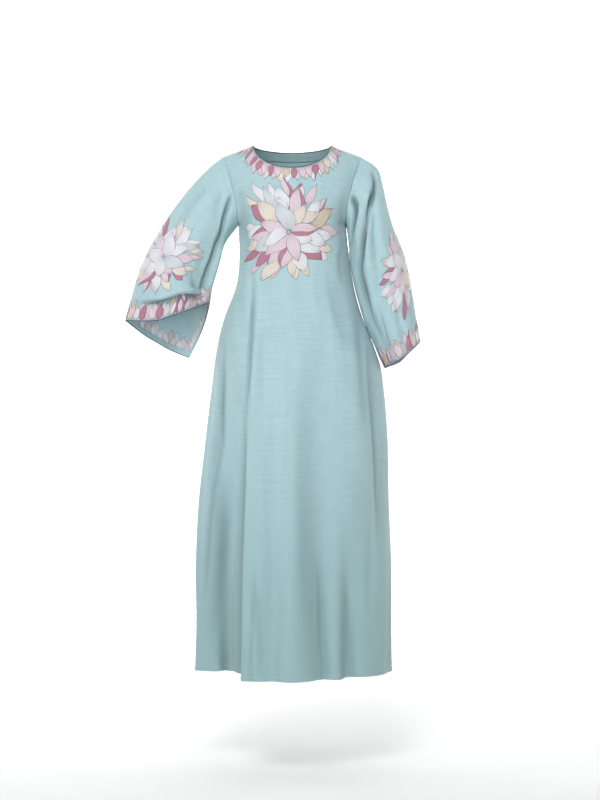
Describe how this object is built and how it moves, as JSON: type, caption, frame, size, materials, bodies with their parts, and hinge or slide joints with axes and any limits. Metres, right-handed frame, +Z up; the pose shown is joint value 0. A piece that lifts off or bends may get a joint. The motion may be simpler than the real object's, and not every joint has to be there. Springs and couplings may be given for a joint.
{
  "type": "kaftan",
  "caption": "Long hollow kaftan with a round neck, wide bell sleeves and an A-line skirt with deep folds, in its worn shape.",
  "frame": {"origin": "between the two neck points, just above the line of the shoulder seams, where the wearer's shoulders carry the garment", "axes": "+Z up, -Y out of the front, +X towards the wearer's left"},
  "size_m": [0.7391, 0.3818, 1.3145],
  "materials": {
    "cloth": "soft matte woven cloth with a fine slub, pale aqua",
    "piping": "matte twill cloth over cord, dark slate blue",
    "embroidery": "satin stitch thread in white, blush, rose, cream and grey, outlined in dark mauve"
  },
  "bodies": {
    "root": {"front_panel": "cloth", "back_panel": "cloth", "sleeve_right_front": "cloth", "sleeve_right_back": "cloth", "sleeve_left_front": "cloth", "sleeve_left_back": "cloth", "neck_piping": "piping", "cuff_piping_right": "piping", "cuff_piping_left": "piping"}
  },
  "joints": []
}
